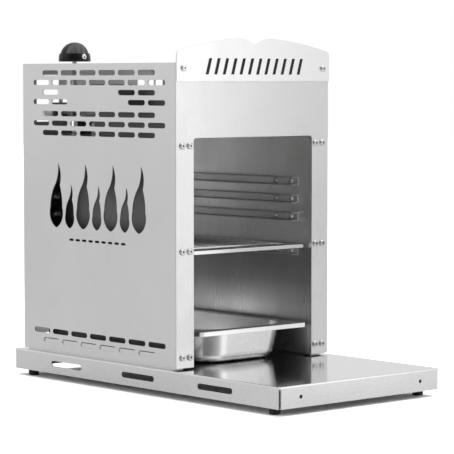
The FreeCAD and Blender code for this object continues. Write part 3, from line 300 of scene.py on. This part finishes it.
def make_materials():
    """Finish of each material slot of the record."""
    return {
        "stainless_base": brushed("steel_base", 0.78, 0.28, "x", spots=0.04, swing=0.04, relief=0.006,
                                  # painted shade: the base tray's top is darkened to 0.72 of its tone
                                  region=("Z", BASE_TOP), other=(0.72, 0.40)),
        "stainless_satin": brushed("steel_satin", 0.77, 0.34, "z", relief=0.006),
        "stainless_front": brushed("steel_front", 0.71, 0.32, "z", spots=0.03, relief=0.003),
        "stainless_liner": brushed("steel_liner", 0.98, 0.32, "z", spots=0.18, swing=0.04, relief=0.004,
                                   smears=(14, (1, 1, 0.35)),
                                   # painted shade: the liner's outer side is darkened to 0.20 of its tone
                                   region=("X", LINER_OUTSIDE, True), other=(0.20, 1.3),
                                   # painted shade under the grate, on the liner's walls between 84 and 158 mm
                                   shade_band=(84 * MM, 116 * MM, 158 * MM, 0.60)),
        "grate_chrome": brushed("chrome_wire", 0.80, 0.16, "", spots=0.06, swing=0.03, relief=0.01),
        "pan_steel": brushed("steel_pan", 0.99, 0.24, "", spots=0.04, swing=0.04, relief=0.004),
        "aluminised_steel": brushed("steel_aluminised", 0.42, 0.48, "", spots=0.15),
        "gas_nickel": machined("nickel", grey(0.24), (0.42, 0.42, 0.41), 0.30),
        "valve_steel": machined("steel_turned", (0.42, 0.42, 0.43), grey(0.60), 0.25),
        "copper_alloy": machined("copper", (0.62, 0.30, 0.19), (0.78, 0.44, 0.30), 0.30),
        # painted shade: nearly black bands along the screws' edges
        "fastener_steel": machined("steel_screw", (0.50, 0.50, 0.51), grey(0.78), 0.16, (0.6 * MM, 0.12)),
        "plaque_ceramic": perforated("ceramic_plaque", (0.62, 0.56, 0.46), (0.80, 0.76, 0.67)),
        "white_ceramic": moulded("ceramic_white", (0.80, 0.79, 0.76), (0.88, 0.87, 0.84), 0.25, 300, 0.05, 0.5),
        "black_plastic": moulded("plastic_black", grey(0.012), grey(0.020), 0.50, 1200, 0.20),
        "lead_rubber": moulded("rubber_lead", grey(0.030), grey(0.045), 0.55, 900, 0.12),
        "foot_rubber": moulded("rubber_foot", grey(0.010), grey(0.020), 0.60, 800, 0.20),
        "knob_gloss": moulded("plastic_gloss", grey(0.003), grey(0.006), 0.06, 90, 0.004, bend=1.36),
        "pointer_white": moulded("plastic_light", grey(0.72), grey(0.82), 0.18, 300, 0.04, 0.4),
    }


def make_variants():
    """Finishes of single nodes that differ from the rest of their material slot."""
    # painted light: the crown gets a lighter copy of the front frame's steel
    crown = brushed("steel_crown_painted_light", 0.87, 0.36, "z", spots=0.03, relief=0.003)
    # painted shade: dark lines along the rails' edges
    rail = brushed("steel_rail", 0.86, 0.40, "y", spots=0.16, relief=0.01, edges=(0.9 * MM, 0.12))
    # painted shade: dark rings along the bolts' edges
    bolt = machined("steel_bolt", grey(0.66), grey(0.92), 0.30, (0.8 * MM, 0.05))
    variants = {f"{side}_rail_{row}": rail for side in ("left", "right") for row in (1, 2, 3, 4)}
    variants.update({"header_plate": crown, "rail_bolts": bolt})
    return variants


def finish_nodes(variants):
    """Give each node of the frame its own variant, or the finish of the slot that its record names."""
    for part in frame["record"]["subparts"]:
        thing = NODES[part["node"]]
        thing.data.materials.clear()
        thing.data.materials.append(variants.get(part["node"], MATERIALS[part["material_slot"]]))


MATERIALS = make_materials()


# ---------------------------------------------------------------- knob, pointer mark and valve spring

KNOB_AXIS = Vector((-70 * MM, 181 * MM, 0))
KNOB_LOW, KNOB_TOP = 374.6 * MM, 397.6 * MM
KNOB_RADIUS, KNOB_BORE, KNOB_STEPS = 19.2 * MM, 3.05 * MM, 144
SKIRT_TOP, SKIRT_EDGE = 377.2 * MM, 0.1 * MM
GRIP_FLOOR, GRIP_HALF = 384.4 * MM, 5.0 * MM
FLUTE_DEEP, FLUTE_PITCH = 0.22 * MM, 7.5 * MM
DOME_LOW_STEPS, DOME_HIGH_STEPS, DOME_TIP = 8, 24, 0.05 * MM
MARK_HALF_WIDE, MARK_HALF_HIGH, MARK_DOME, MARK_DOT = 3.4 * MM, 4.0 * MM, 1.0 * MM, 0.9 * MM
MARK_SUNK, MARK_LEVEL, MARK_STEPS, MARK_RINGS = 0.8 * MM, 379.9 * MM, 48, 8
SPRING_LOW, SPRING_TOP, SPRING_TURNS = 317.05 * MM, 321.95 * MM, 3
SPRING_RADIUS, SPRING_WIRE = 3.9 * MM, 0.5 * MM
SPRING_STEPS, WIRE_STEPS = 32, 16       # along one turn, around the wire


def skin(shape, rings, close_start=False):
    """Faces between rings of points, with the last ring closed, and the first too if asked."""
    rings = [[shape.verts.new(place) for place in ring] for ring in rings]
    for low, high in zip(rings, rings[1:]):
        for step in range(len(low)):
            after = (step + 1) % len(low)
            shape.faces.new((low[step], low[after], high[after], high[step]))
    if close_start:
        shape.faces.new(rings[0])
    shape.faces.new(rings[-1])
    bmesh.ops.recalc_face_normals(shape, faces=shape.faces)


def finished_mesh(name, rings, slot, sharp_from, carrier="knob", close_start=False):
    """Skinned object, smooth up to an angle in degrees, in the finish of a material slot, on a body."""
    shape = bmesh.new()
    skin(shape, rings, close_start)
    mesh = bpy.data.meshes.new(name)
    shape.to_mesh(mesh)
    shape.free()
    for face in mesh.polygons:
        face.use_smooth = True
    mesh.set_sharp_from_angle(angle=math.radians(sharp_from))
    made = bpy.data.objects.new(name, mesh)
    bpy.context.scene.collection.objects.link(made)
    mesh.materials.append(MATERIALS[slot])
    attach(made, carrier)
    return made


def turns(count):
    """Angles of the steps of one full turn."""
    return [2 * math.pi * step / count for step in range(count)]


def knob_profile():
    """(radius, level, whether it is on the grip) of each ring, from the bore up to the top of the dome."""
    rings = [(KNOB_BORE, KNOB_LOW, False), (KNOB_RADIUS - 0.5 * MM, KNOB_LOW, False),
             (KNOB_RADIUS - SKIRT_EDGE, KNOB_LOW + 0.2 * MM, False), (KNOB_RADIUS, KNOB_LOW + 0.8 * MM, False),
             (KNOB_RADIUS - SKIRT_EDGE, SKIRT_TOP - 0.3 * MM, False)]
    rise = KNOB_TOP - SKIRT_TOP
    floor_turn = math.asin((GRIP_FLOOR - SKIRT_TOP) / rise)
    for step in range(DOME_LOW_STEPS + 1):
        turn = floor_turn * step / DOME_LOW_STEPS
        rings.append((KNOB_RADIUS * math.cos(turn), SKIRT_TOP + rise * math.sin(turn), False))
    for step in range(DOME_HIGH_STEPS + 1):
        turn = floor_turn + (math.pi / 2 - floor_turn) * step / DOME_HIGH_STEPS
        rings.append((max(KNOB_RADIUS * math.cos(turn), DOME_TIP), SKIRT_TOP + rise * math.sin(turn), True))
    return rings


def make_knob():
    """Dome whose upper part is cut away on two sides, which leaves a fluted grip blade across its middle."""
    rings = []
    for radius, level, on_grip in knob_profile():
        ring = []
        for turn in turns(KNOB_STEPS):
            x, y = radius * math.cos(turn), radius * math.sin(turn)
            if on_grip:
                half = GRIP_HALF + FLUTE_DEEP * math.cos(2 * math.pi * x / FLUTE_PITCH)
                y = max(-half, min(half, y))
            ring.append(KNOB_AXIS + Vector((x, y, level)))
        rings.append(ring)
    made = finished_mesh("knob_moulding", rings, "knob_gloss", sharp_from=40)
    # painted reflection: paler grey on the grip blade's flat faces
    made.data.materials.append(moulded("grip_face_painted_reflection", grey(0.07), grey(0.22), 0.16, 200, 0.01))
    for face in made.data.polygons:
        off_middle = abs(face.center.y - KNOB_AXIS.y)
        on_blade = off_middle < GRIP_HALF + 2 * FLUTE_DEEP and abs(face.normal.y) > 0.8
        if on_blade and face.center.z > GRIP_FLOOR:
            face.material_index = 1
    return made


def make_pointer():
    """Oval inlay of the skirt, domed a little, with a small dark dot."""
    centre = KNOB_AXIS + Vector((0, -KNOB_RADIUS + MARK_SUNK, MARK_LEVEL))
    rings = []
    for step in range(MARK_RINGS + 1):
        share = 1 - step / MARK_RINGS * 0.98
        bulge = MARK_DOME * math.sqrt(max(0.0, 1 - share * share))
        rings.append([centre + Vector((MARK_HALF_WIDE * share * math.cos(turn), -bulge,
                                       MARK_HALF_HIGH * share * math.sin(turn))) for turn in turns(MARK_STEPS)])
    made = finished_mesh("knob_mark", rings, "pointer_white", sharp_from=60)
    made.data.materials.append(MATERIALS["knob_gloss"])
    for face in made.data.polygons:
        away = face.center - centre
        if max(abs(away.x), abs(away.z)) < MARK_DOT:
            face.material_index = 1
    return made


def make_spring():
    """Coil under the valve's plunger, fixed to the casing at its rest length; the real one flattens as the knob
    is pushed.
    """
    steps = SPRING_STEPS * SPRING_TURNS
    rise = SPRING_TOP - SPRING_LOW - 2 * SPRING_WIRE
    rings = []
    for step in range(steps + 1):
        turn = 2 * math.pi * SPRING_TURNS * step / steps
        outward = Vector((math.cos(turn), math.sin(turn), 0))
        level = SPRING_LOW + SPRING_WIRE + rise * step / steps
        centre = KNOB_AXIS + outward * SPRING_RADIUS + Vector((0, 0, level))
        rings.append([centre + SPRING_WIRE * (outward * math.cos(tilt) + Vector((0, 0, math.sin(tilt))))
                      for tilt in turns(WIRE_STEPS)])
    made = finished_mesh("return_coil", rings, "valve_steel", sharp_from=50, carrier="casing", close_start=True)
    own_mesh(made)
    return made


# ---------------------------------------------------------------- light and camera

def area_light(name, place, target, width, height, watts):
    """Rectangular lamp that the camera doesn't see."""
    lamp = bpy.data.lights.new(name, "AREA")
    lamp.shape = "RECTANGLE"
    lamp.size = width
    lamp.size_y = height
    lamp.energy = watts
    made = bpy.data.objects.new(name, lamp)
    bpy.context.scene.collection.objects.link(made)
    made.location = place
    made.rotation_euler = (Vector(target) - Vector(place)).to_track_quat("-Z", "Y").to_euler()
    made.visible_camera = False
    return made


def toward(tree, direction, axis, low, high, start, end):
    """low..high as the direction of a world ray turns towards an axis."""
    made = add(tree, "ShaderNodeVectorMath", operation="DOT_PRODUCT")
    made.inputs[1].default_value = axis
    tree.links.new(direction, made.inputs[0])
    return spread(tree, made.outputs["Value"], low, high, start, end)


def make_world():
    """White room with a dark side behind the camera; what the camera itself sees is plain white."""
    world = bpy.data.worlds.new("studio")
    bpy.context.scene.world = world
    world.use_nodes = True
    tree = world.node_tree
    back = tree.nodes["Background"]
    back.inputs["Color"].default_value = (1, 1, 1, 1)
    direction = add(tree, "ShaderNodeTexCoord").outputs["Generated"]
    left_side = toward(tree, direction, TOWARDS_BACK_LEFT, low=1.0, high=0.86, start=-1.0, end=1.0)
    dark_side = toward(tree, direction, TOWARDS_VIEW, low=1.0, high=0.22, start=0.50, end=0.92)
    tree.links.new(times(tree, left_side, dark_side), back.inputs["Strength"])
    seen = add(tree, "ShaderNodeBackground")
    seen.inputs["Color"].default_value = (1, 1, 1, 1)
    seen.inputs["Strength"].default_value = 1.0
    path = add(tree, "ShaderNodeLightPath")
    mix = add(tree, "ShaderNodeMixShader")
    tree.links.new(path.outputs["Is Camera Ray"], mix.inputs["Fac"])
    tree.links.new(back.outputs["Background"], mix.inputs[1])
    tree.links.new(seen.outputs["Background"], mix.inputs[2])
    tree.links.new(mix.outputs["Shader"], tree.nodes["World Output"].inputs["Surface"])


def make_floor():
    """Pale floor, bright enough for the camera to merge with the background."""
    mesh = bpy.data.meshes.new("studio_floor")
    corners = [(x * FLOOR_HALF, y * FLOOR_HALF, 0) for x, y in ((-1, -1), (1, -1), (1, 1), (-1, 1))]
    mesh.from_pydata(corners, [], [(0, 1, 2, 3)])
    floor = bpy.data.objects.new("studio_floor", mesh)
    bpy.context.scene.collection.objects.link(floor)
    made, tree, principled = shader("pale_floor")
    seen = add(tree, "ShaderNodeLightPath").outputs["Is Camera Ray"]
    mottle = noise(tree, 3, detail=3.0)
    reflected = blend_colours(tree, mottle, *map(grey, FLOOR_REFLECTED))
    direct = blend_colours(tree, mottle, *map(grey, FLOOR_SEEN))
    tree.links.new(blend_colours(tree, seen, reflected, direct), principled.inputs["Base Color"])
    principled.inputs["Roughness"].default_value = 0.9
    principled.inputs["Specular IOR Level"].default_value = 0.1
    mesh.materials.append(made)


def make_camera():
    """Camera at the front left, a little above the middle of the grill."""
    lens = bpy.data.cameras.new("view")
    lens.lens = VIEW_LENS
    lens.sensor_width = VIEW_SENSOR
    lens.clip_end = VIEW_END
    made = bpy.data.objects.new("view", lens)
    bpy.context.scene.collection.objects.link(made)
    made.location = VIEW_PLACE
    made.rotation_euler = (Vector(VIEW_TARGET) - made.location).to_track_quat("-Z", "Y").to_euler()
    bpy.context.scene.camera = made


finish_nodes(make_variants())
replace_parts(make_knob(), "knob")
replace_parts(make_pointer(), "knob_pointer")
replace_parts(make_spring(), "valve_spring")
make_world()
make_floor()
area_light("overhead", place=(0.0, -0.2, 1.6), target=(0, 0, 0.1), width=1.6, height=1.6, watts=12.0)
area_light("front_softbox", place=(0.24, -0.56, 0.18), target=(-0.06, -0.06, 0.16),
           width=0.26, height=0.7, watts=0.36)
make_camera()
bpy.context.scene.view_settings.view_transform = "Standard"
